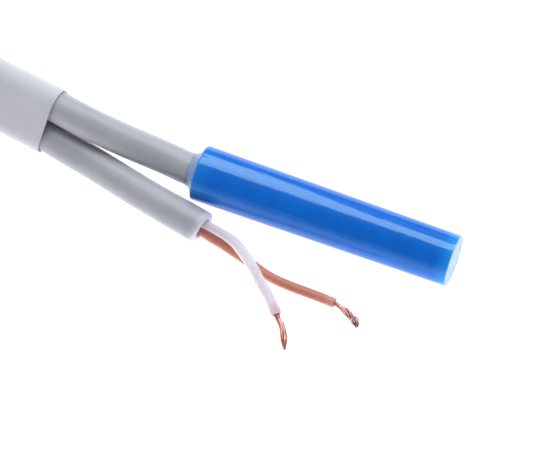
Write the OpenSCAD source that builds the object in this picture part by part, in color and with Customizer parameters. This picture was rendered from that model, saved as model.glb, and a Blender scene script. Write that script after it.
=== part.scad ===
// Cylindrical reed proximity sensor on a short two-core lead, lying on a table.
// X runs along the sensor from the cable end to the closed tip, and Z is up from the table.

/* [Housing] */
// Outside diameter at the open end, where the cable leaves
rim_d = 6.6; // [6.4:0.1:8]
// Outside diameter at the closed tip
tip_d = 6.1; // [5.9:0.1:8]
// Length from the rim to the tip
housing_l = 31.5; // [30:0.5:36]
// Thickness of the tube's wall
wall = 0.55; // [0.4:0.05:0.6]
// Thickness of the closed end
end_wall = 0.9; // [0.6:0.1:1.5]
// Radius round the edge of the tip
tip_edge_r = 0.2; // [0.1:0.05:0.4]

/* [Resin] */
// Length of the hollow-sided collar that climbs the cable behind the rim
collar_l = 1.2; // [0.6:0.1:2]
// Ledge of the rim that the collar leaves bare
rim_ledge = 0.1; // [0.05:0.05:0.4]
// Hollow of the collar's side, where 1 is a straight cone
collar_hollow = 2.2; // [1.4:0.1:3]
// Bond line between the resin and everything it holds
bond = 0.02; // [0.01:0.01:0.03]

/* [Switch capsule] */
// Outside diameter of the glass
glass_d = 2.2; // [1.9:0.1:2.3]
// Length of the glass
glass_l = 14; // [12:0.5:15]
// Wall of the glass round the contacts
glass_wall = 0.3; // [0.2:0.05:0.4]
// Length of glass melted onto each lead
seal_l = 2.8; // [2:0.1:3.5]
// Radius of the melted ends
glass_end_r = 0.7; // [0.4:0.1:0.8]
// Distance from the tip's outer face to the glass
glass_setback = 5; // [4.5:0.1:6]
// Distance of the capsule's axis from the housing's axis
glass_offset = 1.2; // [1.15:0.05:1.25]

/* [Reeds] */
// Diameter of the lead wires
lead_d = 0.5; // [0.4:0.05:0.55]
// Width of the flattened contact blades
blade_w = 0.9; // [0.7:0.1:1]
// Thickness of the blades
blade_t = 0.2; // [0.15:0.05:0.25]
// Length over which the two blades overlap
blade_lap = 0.9; // [0.6:0.1:1.2]
// Gap between the open contacts
contact_gap = 0.05; // [0.03:0.01:0.08]
// Length of the straight lead on the cable side
cable_lead_l = 3; // [2.6:0.1:3.2]
// Length of the lead between the glass and its bend on the tip side
tip_lead_l = 0.5; // [0.4:0.1:0.8]
// Radius of that bend, on the wire's centre line
lead_bend_r = 0.6; // [0.5:0.05:0.8]
// Radius of the solder joints
solder_r = 0.75; // [0.7:0.05:0.8]

/* [Cable] */
// Diameter of the cable's jacket
cable_d = 3.8; // [3.5:0.1:4]
// Diameter of one insulated core
core_d = 1.1; // [0.95:0.05:1.1]
// Diameter of one copper strand
strand_d = 0.22; // [0.18:0.01:0.22]
// Length of the white core between the jacket's end in the resin and its bare copper
core_free_l = 2.2; // [1.8:0.1:3]
// Radius of the hollow in the cut end of the jacket
mouth_r = 1.3; // [1.25:0.05:1.4]
// Depth of that hollow
mouth_depth = 2.5; // [1.5:0.1:3]
// Length of copper held inside the end of each core's insulation
strand_in = 0.6; // [0.4:0.1:0.8]
// Length of bare copper at the solder joints
bare_l = 1; // [0.8:0.1:1.2]

/* [Hank and tie] */
// Length of the straight runs of the hank
hank_run = 31.5; // [30:0.5:40]
// Radius of the cable at the folds of the hank
fold_r = 11.4; // [11:0.1:13]
// Width of the white tie, along the cable
tie_w = 9; // [8:0.5:10]
// Thickness of the tie
tie_t = 0.3; // [0.2:0.05:0.4]

/* [Hidden] */
$fn = 64;

blue = [0.08, 0.36, 0.76];
resin = [0.62, 0.60, 0.68];
clear_green = [0.72, 0.85, 0.80, 0.5];
nickel = [0.75, 0.74, 0.70];
solder = [0.78, 0.79, 0.80];
jacket_grey = [0.66, 0.68, 0.71];
core_white = [0.93, 0.92, 0.93];
core_brown = [0.62, 0.32, 0.26];
copper = [0.78, 0.47, 0.36];
tie_white = [0.90, 0.90, 0.92];

// The housing and its collar of resin stand centred over the origin
tip_x = (housing_l + collar_l) / 2;
rim_x = tip_x - housing_l;
axis_z = rim_d / 2;
rim_bore_r = rim_d / 2 - wall;
tip_bore_r = tip_d / 2 - wall;
bore_l = housing_l - end_wall;

// The capsule, measured from the tip
glass_tip_x = tip_x - glass_setback;
glass_rear_x = glass_tip_x - glass_l;
tip_hinge_x = glass_tip_x - seal_l;
cable_hinge_x = glass_rear_x + seal_l;
cavity_l = glass_l - 2 * seal_l;
blade_l = (cavity_l + blade_lap) / 2;
blade_root = 0.3;

// The conductors: seven strands in each core, lapped beside the cable-side lead
strand_pitch = strand_d + bond;
bundle_r = strand_pitch + strand_d / 2;
core_hole_r = bundle_r + bond;
core_y = glass_offset - lead_d / 2 - bundle_r - bond;
cable_lead_end_x = glass_rear_x - cable_lead_l;
cable_joint_x = cable_lead_end_x + 1.3 * solder_r;
cable_joint_l = 0.8 * solder_r;
white_core_end_x = cable_joint_x - solder_r - bare_l;
jacket_end_x = white_core_end_x - core_free_l;
white_strand_end_x = cable_joint_x + solder_r / 2;
tip_lead_x = glass_tip_x + tip_lead_l + lead_bend_r;
tip_lead_end_y = -core_y - solder_r / 2;
brown_strand_end_x = tip_lead_x - lead_d / 2 - bond;
brown_core_end_x = brown_strand_end_x - bare_l;

// Heights of the cable where it lies on the table and where the tie stacks it
cable_r = cable_d / 2;
core_r = core_d / 2;
tie_gap = 0.05;
tie_lift = 0.05;
tie_stack = 0.815 * cable_d;
tie_low_z = cable_r + tie_gap + tie_t + tie_lift;
tie_high_z = tie_low_z + tie_stack;
tie_x = -33.3;
tie_slope = -1.3 / 9;
tie_high_y = 0.9;
tie_low_y = -1.6;
tie_end_x = tie_x - tie_w;
tie_rise_y = tie_slope * (tie_end_x - tie_x);

// The hank, a long loop with round ends behind the tie
hank_x = -66.5;
hank_y = 4;
hank_h = 2.5 * cable_d;

// Route of the cable from inside the resin to the hank
sensor_route = [
    [jacket_end_x, 0, axis_z],
    [rim_x, 0, axis_z],
    [rim_x - collar_l, 0, axis_z],
    [-18, 0.13, axis_z + 0.05],
    [-20, 0.25, axis_z + 0.22],
    [-24, 0.3, axis_z + 0.72],
    [-28, 0.4, axis_z + 1.4],
    [-31, 0.57, axis_z + 1.95],
    [tie_x, tie_high_y, tie_high_z],
    [-38, 1.6, tie_high_z],
    [tie_end_x, tie_high_y + tie_rise_y, tie_high_z],
    [-46.6, 3.2, 5.8],
    [-50.7, 5.2, 6.5],
    [-54.3, 7.8, 7.2]
];

// Route of the cable from the hank back to its cut end
tail_route = [
    [-55.4, -2.4, cable_r],
    [-51.2, -0.7, cable_r + 0.1],
    [-46.8, 0, tie_low_z - 0.2],
    [tie_end_x, tie_low_y + tie_rise_y, tie_low_z],
    [-38, -0.9, tie_low_z],
    [tie_x, tie_low_y, tie_low_z],
    [-30.8, -2.1, cable_r + 0.2],
    [-28.3, -2.52, cable_r],
    [-25.7, -3.12, cable_r],
    [-20.4, -4.3, cable_r],
    [-15, -5.28, cable_r],
    [-12.5, -5.73, cable_r]
];

// Routes of the two cores out of the cut jacket, the white one passing over the brown one
white_route = [
    [-14.6, -5.3, 2.42],
    [-12.4, -5.83, 2.42],
    [-11.2, -5.97, 2.3],
    [-10, -6.12, 2.15],
    [-8.6, -6.4, 2.02],
    [-7.15, -7.15, 1.92],
    [-5.85, -8.05, 1.82],
    [-4.85, -8.85, 1.65],
    [-3.4, -10.1, 1.2],
    [-2, -11.25, 0.85],
    [-0.6, -12.65, core_r + 0.05]
];
brown_route = [
    [-14.7, -5.65, 1.28],
    [-12.55, -6.08, 1.28],
    [-11.1, -6.4, 1.1],
    [-10, -6.55, 0.95],
    [-8.95, -6.77, 0.8],
    [-7.9, -7, 0.68],
    [-5.65, -7.62, core_r],
    [-3.4, -8.3, core_r],
    [-1.3, -8.58, core_r],
    [0.7, -8.65, core_r],
    [3.2, -8.7, core_r],
    [5.05, -8.8, core_r]
];

// Routes of the bare copper from the ends of the cores
white_copper = [[0.3, -13.7, 0.5], [1.1, -14.8, 0.45], [1.95, -16.35, 0.42]];
brown_copper = [[6, -9.05, 0.52], [6.9, -9.45, 0.52], [7.75, -9.8, 0.52], [8.6, -10.5, 0.52]];

// Sides of the swept tubes, and rings along each strand
cable_sides = 12;
strand_sides = 6;
strand_rings = 12;

function unit(v) = v / norm(v);

// Direction of a route at one of its points
function heading(route, i) = unit(route[min(i + 1, len(route) - 1)] - route[max(i - 1, 0)]);

// Level direction across a heading
function across(h) = unit(cross([0, 0, 1], h));

// A point round a route's axis, at a distance and an angle
function around(h, r, a) = r * (cos(a) * across(h) + sin(a) * cross(h, across(h)));

// A ring of points round a route's axis
function ring(centre, h, r, sides) = [
    for (k = [0 : sides - 1]) centre + around(h, r, 360 * (k + 0.5) / sides)
];

// Rings along a whole route
function tube_rings(route, r, sides) = [
    for (i = [0 : len(route) - 1]) ring(route[i], heading(route, i), r, sides)
];

// Rings that sink a round hollow into the end of a route
function hollow_rings(route, r, depth, sides) =
    let (end = route[len(route) - 1], h = heading(route, len(route) - 1))
    [ring(end, h, r, sides), ring(end - depth * h, h, r, sides)];

// A smooth curve through the points of a route, at u counted in points
function smooth(route, u) =
    let (
        last = len(route) - 1,
        i = min(floor(u), last - 1),
        t = u - i,
        a = route[max(i - 1, 0)],
        b = route[i],
        c = route[i + 1],
        d = route[min(i + 2, last)]
    )
    b + t * ((c - a) / 2 + t * ((a - 2.5 * b + 2 * c - d / 2) + t * (1.5 * (b - c) + (d - a) / 2)));

// Route of a bundle of strands: from inside a core's end, out along the bare copper
function copper_route(core_route, bare) =
    let (last = len(core_route) - 1, end = core_route[last])
    concat([end - strand_in * heading(core_route, last), end], bare);

// Points along one strand that runs straight out of its core, then winds round the bundle and spreads
function strand_points(route, start, twist, spread) =
    let (
        last = len(route) - 1,
        path = [for (i = [0 : strand_rings]) smooth(route, i / strand_rings * last)]
    )
    [
        for (i = [0 : strand_rings])
            let (
                t = max(0, i / strand_rings * last - 1) / (last - 1),
                r = strand_pitch + spread * pow(sin(90 * t), 2)
            )
            path[i] + (start < 0 ? [0, 0, 0] : around(heading(path, i), r, start + twist * t))
    ];

// Closed skin over a list of rings
module skin(rings) {
    n = len(rings[0]);
    last = len(rings) - 1;
    sides = [
        for (i = [0 : last - 1], k = [0 : n - 1])
            let (a = i * n + k, b = i * n + (k + 1) % n)
            each [[a, a + n, b + n], [a, b + n, b]]
    ];
    first_cap = [for (k = [0 : n - 1]) k];
    last_cap = [for (k = [n - 1 : -1 : 0]) last * n + k];
    points = [for (r = rings) each r];
    polyhedron(points = points, faces = concat([first_cap, last_cap], sides), convexity = 4);
}

// A bundle of seven strands: one along the axis and six wound round it
module strand_bundle(route, twist, spread) {
    for (start = [-1, 0, 60, 120, 180, 240, 300]) {
        points = strand_points(route, start, twist, spread);
        skin(tube_rings(points, strand_d / 2, strand_sides));
    }
}

// Stands a shape that was made along Z on a line along X, at a distance from the housing's axis
module along_x(x, y = 0) {
    translate([x, y, axis_z])
        rotate([0, 90, 0])
            children();
}

module rod(x0, x1, y, r) {
    along_x(x0, y)
        cylinder(h = x1 - x0, r = r);
}

// Seven straight strands in a tight bundle
module straight_strands(x0, x1, y) {
    rod(x0, x1, y, strand_d / 2);
    for (a = [0 : 60 : 300])
        translate([0, 0, strand_pitch * sin(a)])
            rod(x0, x1, y + strand_pitch * cos(a), strand_d / 2);
}

// Outside of the glass, with melted round ends
module glass_outside(grow = 0) {
    r = glass_d / 2 + grow;
    arc = [for (a = [0 : 15 : 90]) a];
    along_x(glass_rear_x - grow, glass_offset)
        rotate_extrude()
            polygon(concat(
                [[0, 0]],
                [for (a = arc) [r - glass_end_r * (1 - sin(a)), glass_end_r * (1 - cos(a))]],
                [for (a = arc)
                    [r - glass_end_r * (1 - cos(a)), glass_l + 2 * grow - glass_end_r * (1 - sin(a))]],
                [[0, glass_l + 2 * grow]]
            ));
}

// Straight wire of the cable-side reed, from its end to the glass cavity
module cable_lead(grow = 0) {
    rod(cable_lead_end_x - grow, cable_hinge_x + blade_root + grow, glass_offset, lead_d / 2 + grow);
}

// Wire of the tip-side reed, bent square across the housing to the brown core
module tip_lead(grow = 0) {
    r = lead_d / 2 + grow;
    bend_x = glass_tip_x + tip_lead_l;
    bend_y = glass_offset - lead_bend_r;
    rod(tip_hinge_x - blade_root - grow, bend_x, glass_offset, r);
    translate([bend_x, bend_y, axis_z])
        rotate_extrude(angle = 90)
            translate([lead_bend_r, 0])
                circle(r = r);
    translate([tip_lead_x, bend_y, axis_z])
        rotate([90, 0, 0])
            cylinder(h = bend_y - tip_lead_end_y + grow, r = r);
}

// Flattened contact blade: side is 1 for the upper blade and -1 for the lower
module blade(x, side) {
    translate([x, glass_offset - blade_w / 2, axis_z + side * (contact_gap + blade_t) / 2 - blade_t / 2])
        cube([blade_l, blade_w, blade_t]);
}

module cable_joint(grow = 0) {
    y = (core_y + glass_offset) / 2;
    r = solder_r + grow;
    rod(cable_joint_x, cable_joint_x + cable_joint_l, y, r);
    for (x = [cable_joint_x, cable_joint_x + cable_joint_l])
        translate([x, y, axis_z])
            sphere(r = r);
}

module tip_joint(grow = 0) {
    translate([tip_lead_x, -core_y, axis_z])
        sphere(r = solder_r + grow);
}

// Straight insulated core with a hole in its end for the copper
module inner_core(end_x, y) {
    difference() {
        rod(jacket_end_x + bond, end_x, y, core_r);
        rod(end_x - strand_in - bond, end_x + bond, y, core_hole_r);
    }
}

module housing() {
    edge = [for (a = [0 : 15 : 90]) a];
    color(blue)
        along_x(rim_x)
            rotate_extrude($fn = 96)
                polygon(concat(
                    [[rim_bore_r, 0], [rim_d / 2, 0]],
                    [for (a = edge)
                        [tip_d / 2 - tip_edge_r * (1 - cos(a)), housing_l - tip_edge_r * (1 - sin(a))]],
                    [[0, housing_l], [0, bore_l], [tip_bore_r, bore_l]]
                ));
}

// Clear resin that fills the housing and climbs the cable in a hollow collar
module potting() {
    plug_r = rim_bore_r - bond;
    foot_r = rim_d / 2 - rim_ledge;
    neck_r = cable_r + 3 * bond;
    collar = [for (t = [0 : 0.125 : 1])
        [neck_r + (foot_r - neck_r) * pow(1 - t, collar_hollow), -bond - (collar_l - bond) * t]];
    color(resin)
        difference() {
            along_x(rim_x)
                rotate_extrude($fn = 96)
                    polygon(concat(
                        collar,
                        [[0, -collar_l], [0, bore_l - bond], [tip_bore_r - bond, bore_l - bond]],
                        [[plug_r, 0], [plug_r, -bond]]
                    ));
            rod(rim_x - collar_l - bond, jacket_end_x + bond, 0, cable_r + bond);
            for (core = [[white_core_end_x, core_y], [brown_core_end_x, -core_y]])
                rod(jacket_end_x, core[0] + bond, core[1], core_r + bond);
            rod(white_core_end_x, white_strand_end_x, core_y, core_hole_r);
            rod(brown_core_end_x, brown_strand_end_x, -core_y, core_hole_r);
            cable_joint(bond);
            tip_joint(bond);
            cable_lead(bond);
            tip_lead(bond);
            glass_outside(bond);
        }
}

module glass_capsule() {
    color(clear_green)
        difference() {
            glass_outside();
            rod(cable_hinge_x, tip_hinge_x, glass_offset, glass_d / 2 - glass_wall);
            rod(glass_rear_x - bond, glass_tip_x + bond, glass_offset, lead_d / 2 + bond);
        }
}

module cable_side_reed() {
    color(nickel) {
        cable_lead();
        blade(cable_hinge_x, 1);
    }
}

module tip_side_reed() {
    color(nickel) {
        tip_lead();
        blade(tip_hinge_x - blade_l, -1);
    }
}

module cable_side_solder() {
    color(solder)
        difference() {
            cable_joint();
            cable_lead(bond);
            rod(white_core_end_x, white_strand_end_x + bond, core_y, core_hole_r);
        }
}

module tip_side_solder() {
    color(solder)
        difference() {
            tip_joint();
            tip_lead(bond);
            rod(brown_core_end_x, tip_lead_x, -core_y, core_hole_r);
        }
}

module white_core_inner() {
    color(core_white)
        inner_core(white_core_end_x, core_y);
}

module brown_core_inner() {
    color(core_brown)
        inner_core(brown_core_end_x, -core_y);
}

module white_strands_inner() {
    color(copper)
        straight_strands(white_core_end_x - strand_in, white_strand_end_x - bond, core_y);
}

module brown_strands_inner() {
    color(copper)
        straight_strands(brown_core_end_x - strand_in, brown_strand_end_x - bond, -core_y);
}

module cable_sensor_run() {
    color(jacket_grey)
        skin(tube_rings(sensor_route, cable_r, cable_sides));
}

// Outer shape of the folded length of cable
module cable_hank() {
    color(jacket_grey)
        translate([hank_x, hank_y, 0])
            linear_extrude(hank_h)
                difference() {
                    hank_outline(fold_r + cable_r);
                    hank_outline(fold_r - cable_r);
                }
}

module hank_outline(r) {
    circle(r = r);
    translate([-hank_run, 0])
        circle(r = r);
    translate([-hank_run, -r])
        square([hank_run, 2 * r]);
}

module cable_tail_run() {
    color(jacket_grey)
        skin(concat(
            tube_rings(tail_route, cable_r, cable_sides),
            hollow_rings(tail_route, mouth_r, mouth_depth, cable_sides)
        ));
}

// White band round the two stacked cables
module hank_tie() {
    angle = atan(tie_slope);
    color(tie_white)
        translate([tie_x, 0, 0])
            rotate([90, 0, angle - 90])
                linear_extrude(tie_w)
                    difference() {
                        tie_outline(cable_r + tie_gap + tie_t, angle);
                        tie_outline(cable_r + tie_gap, angle);
                    }
}

// Outline round two circles, across the cables
module tie_outline(r, angle) {
    high = [-tie_high_y * cos(angle), tie_high_z];
    low = [-tie_low_y * cos(angle), tie_low_z];
    span = high - low;
    translate(low)
        circle(r = r);
    translate(high)
        circle(r = r);
    translate(low)
        rotate(atan2(span[1], span[0]))
            translate([0, -r])
                square([norm(span), 2 * r]);
}

module white_core_tail() {
    color(core_white)
        skin(concat(
            tube_rings(white_route, core_r, cable_sides),
            hollow_rings(white_route, core_hole_r + bond, strand_in + bond, cable_sides)
        ));
}

module brown_core_tail() {
    color(core_brown)
        skin(concat(
            tube_rings(brown_route, core_r, cable_sides),
            hollow_rings(brown_route, core_hole_r + bond, strand_in + bond, cable_sides)
        ));
}

module white_strands_tail() {
    color(copper)
        strand_bundle(copper_route(white_route, white_copper), 300, 0.06);
}

module brown_strands_tail() {
    color(copper)
        strand_bundle(copper_route(brown_route, brown_copper), 140, 0.16);
}

housing();
potting();
glass_capsule();
cable_side_reed();
tip_side_reed();
cable_side_solder();
tip_side_solder();
white_core_inner();
brown_core_inner();
white_strands_inner();
brown_strands_inner();
cable_sensor_run();
cable_hank();
cable_tail_run();
hank_tie();
white_core_tail();
brown_core_tail();
white_strands_tail();
brown_strands_tail();
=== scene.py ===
import math

import bmesh
import bpy
import numpy as np
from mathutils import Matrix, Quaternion, Vector


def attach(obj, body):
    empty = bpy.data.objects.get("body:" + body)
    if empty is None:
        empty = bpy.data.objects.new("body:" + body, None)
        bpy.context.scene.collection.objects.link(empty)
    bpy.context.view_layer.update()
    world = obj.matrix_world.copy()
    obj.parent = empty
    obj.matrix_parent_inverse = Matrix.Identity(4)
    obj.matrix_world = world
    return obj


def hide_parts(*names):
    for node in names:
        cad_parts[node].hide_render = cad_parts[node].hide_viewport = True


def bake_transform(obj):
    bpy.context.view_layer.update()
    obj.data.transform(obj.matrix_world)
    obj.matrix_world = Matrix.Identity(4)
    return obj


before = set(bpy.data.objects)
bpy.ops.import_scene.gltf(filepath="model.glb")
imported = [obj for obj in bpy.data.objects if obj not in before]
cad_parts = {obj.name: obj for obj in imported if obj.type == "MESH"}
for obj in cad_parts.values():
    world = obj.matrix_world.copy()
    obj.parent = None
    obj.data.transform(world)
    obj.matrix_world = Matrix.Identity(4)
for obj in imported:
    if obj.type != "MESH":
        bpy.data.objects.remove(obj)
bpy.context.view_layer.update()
mm = 0.001
scene = bpy.context.scene
scene.view_settings.view_transform = "Standard"
axisZ = 0.0033  # height of the sensor's axis above the table
rimX, tipX = -0.01515, 0.01635
switchY = 0.0012  # how far the glass switch lies beside the axis
cutPlace = (-0.0122, -0.00606, 0.0019)  # middle of the cable's cut end
print("frame loaded:", len(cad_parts), "nodes")


# unit vector towards a compass angle and a height angle, in degrees; angle 0 is on the -Y side
def towards(azimuth, elevation):
    a, e = math.radians(azimuth), math.radians(elevation)
    return np.array([math.sin(a) * math.cos(e), -math.cos(a) * math.cos(e), math.sin(e)])


# puts a camera or a lamp at its distance from its aim, looking back at it
def placeAimed(thing, s):
    back = towards(s["azimuth"], s["elevation"])
    roll = Quaternion((0, 0, 1), math.radians(s["roll"]))
    thing.location = np.array(s["aim"]) + s["distance"] * back
    thing.rotation_mode = "QUATERNION"
    thing.rotation_quaternion = Vector(-back).to_track_quat("-Z", "Y") @ roll
    scene.collection.objects.link(thing)


# camera with a long lens at the photo's angle; frameWidth is the picture's width at the aim point
studio = {
    "azimuth": 21.5,
    "elevation": 62.6,
    "roll": 0.0,
    "aim": (-0.005094, -0.003351, 0.003177),
    "frameWidth": 0.06237,
    "distance": 0.62,
    "sensorWidth": 36,
}


def makeCamera():
    data = bpy.data.cameras.new("camera")
    data.sensor_width = studio["sensorWidth"]
    data.lens = data.sensor_width * studio["distance"] / studio["frameWidth"]
    scene.camera = bpy.data.objects.new("camera", data)
    placeAimed(scene.camera, studio)


makeCamera()
print("camera made")


# eased step from 0 to 1: half a cosine wave between 0 and 1, flat outside
def easedStep(x):
    return 0.5 - 0.5 * np.cos(np.pi * np.clip(x, 0, 1))


# distance walked along the points, from 0
def walkedAlong(points):
    return np.concatenate([[0.0], np.cumsum(np.linalg.norm(np.diff(points, axis=0), axis=1))])


# natural cubic spline through the points, on chord length, then set out again at even steps
def smoothRoute(points, spacing):
    p = np.asarray(points, float)
    knots = walkedAlong(p)
    h = np.diff(knots)
    n = len(p)
    system = np.eye(n)
    rows = np.arange(1, n - 1)
    system[rows, rows - 1] = h[:-1] / 6
    system[rows, rows] = (h[:-1] + h[1:]) / 3
    system[rows, rows + 1] = h[1:] / 6
    slopes = np.diff(p, axis=0) / h[:, None]
    right = np.zeros_like(p)
    right[1:-1] = np.diff(slopes, axis=0)
    bend = np.linalg.solve(system, right)

    def at(s):
        i = np.clip(np.searchsorted(knots, s) - 1, 0, n - 2)
        b = ((s - knots[i]) / h[i])[:, None]
        a = 1 - b
        lift = ((a ** 3 - a) * bend[i] + (b ** 3 - b) * bend[i + 1]) * (h[i] ** 2)[:, None] / 6
        return a * p[i] + b * p[i + 1] + lift

    samples, fewest = 60, 8
    fine = np.linspace(0, knots[-1], samples * n)
    run = walkedAlong(at(fine))
    count = max(fewest, int(round(run[-1] / spacing)) + 1)
    return at(np.interp(np.linspace(0, run[-1], count), run, fine))


# directions along a path, or along many: forward, level sideways, and upward across both
def pathFrames(path):
    run = np.gradient(path, axis=-2)
    run /= np.linalg.norm(run, axis=-1, keepdims=True)
    side = np.cross([0.0, 0.0, 1.0], run)
    side /= np.linalg.norm(side, axis=-1, keepdims=True)
    return run, side, np.cross(run, side)


def ringAngles(sides):
    return np.linspace(0, 2 * np.pi, sides, endpoint=False)


# tube skin: ring point = path + radius (cos a side + sin a up); head and tail are rows of
# (distance past the end, radius) that close it, and cut pushes the tail rows along by angle
def tubeGrid(path, radius, sides, head, tail, cut):
    run, side, up = pathFrames(path)
    head, tail = np.array(head, float), np.array(tail, float)
    spread = [len(head) + 1] + [1] * (len(path) - 2) + [len(tail) + 1]
    centre = np.concatenate([
        path[0] - head[:, :1] * run[0], path, path[-1] + tail[:, :1] * run[-1]])
    side, up = np.repeat(side, spread, axis=0), np.repeat(up, spread, axis=0)
    r = np.concatenate([head[:, 1], radius, tail[:, 1]])
    a = ringAngles(sides)
    grid = centre[:, None] + r[:, None, None] * (
        np.cos(a)[:, None] * side[:, None] + np.sin(a)[:, None] * up[:, None])
    share = np.clip(tail[:, 1:] / tail[0, 1], 0, 1)
    grid[-len(tail):] += (share * cut(a))[..., None] * run[-1]
    return grid


# closes a skin, or many, with a point in the middle of each end
def capped(grid):
    ends = np.repeat(grid[..., [0, -1], :, :].mean(axis=-2, keepdims=True), grid.shape[-2], axis=-2)
    return np.concatenate([ends[..., :1, :, :], grid, ends[..., 1:, :, :]], axis=-3)


def pairs(a, b):
    return np.stack([a, b], axis=1)


# turned skin: a profile of (x, radius) pairs carried round the sensor's axis
def turnedGrid(profile, sides):
    a = ringAngles(sides)
    x = np.repeat(profile[:, :1], sides, axis=1)
    return np.stack([x, profile[:, 1:] * np.cos(a), axisZ + profile[:, 1:] * np.sin(a)], axis=-1)


# the four corners of each face between rows, from the values at a column and at the next one
def faceCorners(here, beside):
    return np.stack([here[..., :-1, :], beside[..., :-1, :], beside[..., 1:, :], here[..., 1:, :]], axis=-1)


# puts grids of points (rows along, columns round) into one mesh; u goes round, v is metres along
# and starts elsewhere on each grid, rows that shrink to a point become poles, and normals are
# turned outwards
def gridPiece(name, grid, material, replaced, body="sensor"):
    rows, columns = grid.shape[-3:-1]
    index = np.arange(grid[..., 0].size).reshape(grid.shape[:-1])
    quads = faceCorners(index, np.roll(index, -1, axis=-1))
    steps = np.linalg.norm(np.diff(grid.mean(axis=-2), axis=-2), axis=-1)
    reach = np.linalg.norm(np.diff(grid, axis=-3), axis=-1).mean(axis=-1)
    walked = np.cumsum(np.maximum(steps, reach), axis=-1)
    along = np.concatenate([np.zeros_like(walked[..., :1]), walked], axis=-1)
    gridShift = 0.37
    start = np.arange(along.size // rows).reshape(along.shape[:-1] + (1,)) * gridShift
    v = np.broadcast_to((along + start)[..., None], index.shape)
    u = np.broadcast_to(np.arange(columns) / columns, index.shape)
    corner = np.stack([faceCorners(u, u + 1 / columns), faceCorners(v, v)], axis=-1)
    mesh = bpy.data.meshes.new(name)
    mesh.from_pydata(grid.reshape(-1, 3).tolist(), [], quads.reshape(-1, 4).tolist())
    mesh.uv_layers.new(name="along").data.foreach_set("uv", corner.ravel().astype(np.float32))
    work = bmesh.new()
    work.from_mesh(mesh)
    bmesh.ops.remove_doubles(work, verts=work.verts, dist=1e-8)
    bmesh.ops.recalc_face_normals(work, faces=work.faces)
    work.to_mesh(mesh)
    work.free()
    mesh.polygons.foreach_set("use_smooth", np.ones(len(mesh.polygons), bool))
    mesh.materials.append(material)
    piece = bpy.data.objects.new(name, mesh)
    scene.collection.objects.link(piece)
    if body:
        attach(piece, body)
    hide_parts(*replaced)
    return piece


# adds a node; inputs are constants or sockets to link from
def addNode(tree, kind, inputs=None, **settings):
    made = tree.nodes.new(kind)
    for key, value in settings.items():
        setattr(made, key, value)
    for key, value in (inputs or {}).items():
        if isinstance(value, bpy.types.NodeSocket):
            tree.links.new(value, made.inputs[key])
        else:
            made.inputs[key].default_value = value
    return made


def rampNode(tree, factor, stops):
    made = addNode(tree, "ShaderNodeValToRGB", {"Fac": factor})
    elements = made.color_ramp.elements
    while len(elements) < len(stops):
        elements.new(0.5)
    for element, (place, colour) in zip(elements, stops):
        element.position = place
        element.color = (*colour, 1)
    return made.outputs["Color"]


def mixColours(tree, factor, a, b):
    a, b = [(*colour, 1) if isinstance(colour, tuple) else colour for colour in (a, b)]
    return addNode(tree, "ShaderNodeMix", {0: factor, 6: a, 7: b}, data_type="RGBA").outputs[2]


def mapRange(tree, value, low, high, toLow=0.0, toHigh=1.0):
    made = addNode(tree, "ShaderNodeMapRange", {
        "Value": value, "From Min": low, "From Max": high, "To Min": toLow, "To Max": toHigh})
    return made.outputs["Result"]


def mathNode(tree, operation, a, b=0.0):
    return addNode(tree, "ShaderNodeMath", {0: a, 1: b}, operation=operation).outputs[0]


def product(tree, a, b):
    return mathNode(tree, "MULTIPLY", a, b)


# sum of two values, each times its own share
def shareSum(tree, a, shareA, b, shareB):
    return mathNode(tree, "ADD", product(tree, a, shareA), product(tree, b, shareB))


def vectorParts(tree, vector):
    return addNode(tree, "ShaderNodeSeparateXYZ", {0: vector}).outputs


def noiseNode(tree, vector, scale, detail):
    return addNode(tree, "ShaderNodeTexNoise", {"Vector": vector, "Scale": scale, "Detail": detail})


def distanceTo(tree, spot, place):
    return addNode(tree, "ShaderNodeVectorMath", {0: spot, 1: place}, operation="DISTANCE").outputs["Value"]


# node group with a vector input; its other inputs and its outputs are values
def makeGroup(name, inputs, outputs):
    tree = bpy.data.node_groups.new(name, "ShaderNodeTree")
    tree.interface.new_socket("Vector", in_out="INPUT", socket_type="NodeSocketVector")
    for label in inputs:
        tree.interface.new_socket(label, in_out="INPUT", socket_type="NodeSocketFloat")
    for label in outputs:
        tree.interface.new_socket(label, in_out="OUTPUT", socket_type="NodeSocketFloat")
    return tree, addNode(tree, "NodeGroupInput"), addNode(tree, "NodeGroupOutput")


# moulded or handled grain: fine pits for height, wide soft clouds for tone
grain = {"pitRoughness": 0.6, "wideShare": 0.09, "cloudEdges": (0.3, 0.7)}


def makeGrainGroup():
    tree, given, out = makeGroup("mouldedGrain", ["Scale"], ["Height", "Tone"])
    vector, scale = given.outputs["Vector"], given.outputs["Scale"]
    fine = noiseNode(tree, vector, scale, 3.0)
    fine.inputs["Roughness"].default_value = grain["pitRoughness"]
    wide = noiseNode(tree, vector, product(tree, scale, grain["wideShare"]), 2.0)
    tree.links.new(fine.outputs["Fac"], out.inputs["Height"])
    tree.links.new(mapRange(tree, wide.outputs["Fac"], *grain["cloudEdges"]), out.inputs["Tone"])
    return tree


# drawn or extruded streaks: noise on a circle for u and stretched far along v, so there is no seam
streaks = {"broadScale": 1.0, "fineScale": 4.0, "maskEdges": (0.32, 0.68)}


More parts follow.
